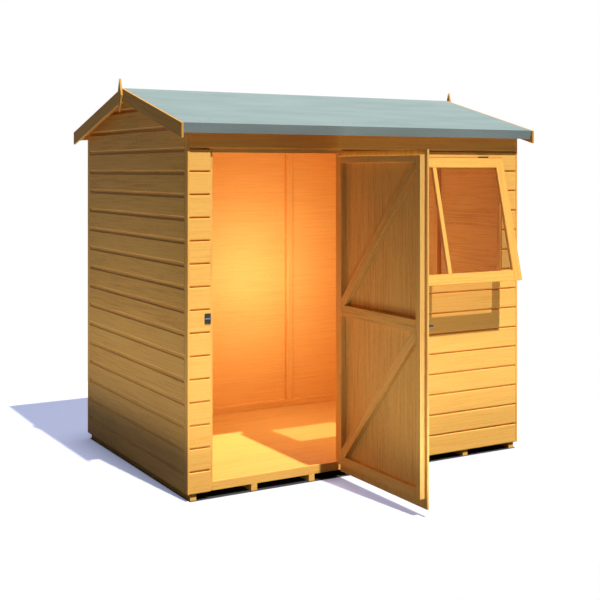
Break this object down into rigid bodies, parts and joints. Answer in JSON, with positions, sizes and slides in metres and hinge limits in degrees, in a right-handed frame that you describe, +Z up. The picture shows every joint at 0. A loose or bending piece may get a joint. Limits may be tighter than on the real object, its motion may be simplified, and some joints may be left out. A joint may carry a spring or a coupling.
{
  "type": "garden shed",
  "caption": "Wooden garden shed with boarded walls, a felted low double-slope roof, a hinged door that swings out, a top-hung window propped open and a hollow floored inside.",
  "frame": {"origin": "on the ground under the middle of the walls, at the underside of the middle joist", "axes": "+X along the ridge to the window end, -Y out of the front wall with the door, +Z up"},
  "size_m": [2.228, 2.2935, 2.0961],
  "materials": {
    "cladding": "satin",
    "framing": "matte",
    "floor": "matte",
    "roof_boards": "matte",
    "roof_trim": "satin",
    "sash_wood": "satin",
    "door_wood": "satin",
    "felt": "matte",
    "glass": "gloss",
    "black_metal": "satin"
  },
  "bodies": {
    "shed": {"front_cladding_left": "cladding", "front_cladding_head": "cladding", "front_cladding_middle": "cladding", "front_cladding_under_window": "cladding", "front_cladding_over_window": "cladding", "front_cladding_right": "cladding", "back_cladding": "cladding", "left_cladding": "cladding", "right_cladding": "cladding", "corner_strips": "cladding", "front_studs": "framing", "front_rails": "framing", "back_studs": "framing", "back_rails": "framing", "left_studs": "framing", "left_rails": "framing", "right_studs": "framing", "right_rails": "framing", "door_threshold": "framing", "ridge_beam": "framing", "purlins": "framing", "floor_joists": "floor", "floor_deck": "floor", "front_roof_deck": "roof_boards", "back_roof_deck": "roof_boards", "eave_fascias": "roof_boards", "front_bargeboards": "roof_trim", "back_bargeboards": "roof_trim", "finials": "roof_trim", "sash_stiles": "sash_wood", "sash_rails": "sash_wood", "roof_felt": "felt", "sash_glass": "glass", "window_hinges": "black_metal", "hinge_plates": "black_metal", "latch_keep": "black_metal"},
    "door": {"door_boards": "door_wood", "door_stiles": "door_wood", "door_rails": "door_wood", "door_braces": "door_wood", "hinge_straps": "black_metal", "door_latch": "black_metal"}
  },
  "joints": [
    {"name": "door_hinge", "type": "hinge", "parent": "shed", "child": "door", "pos_m": [-0.1565, -0.741, 0.9], "axis": [0, 0, 1], "range_deg": [-90, 30]}
  ]
}
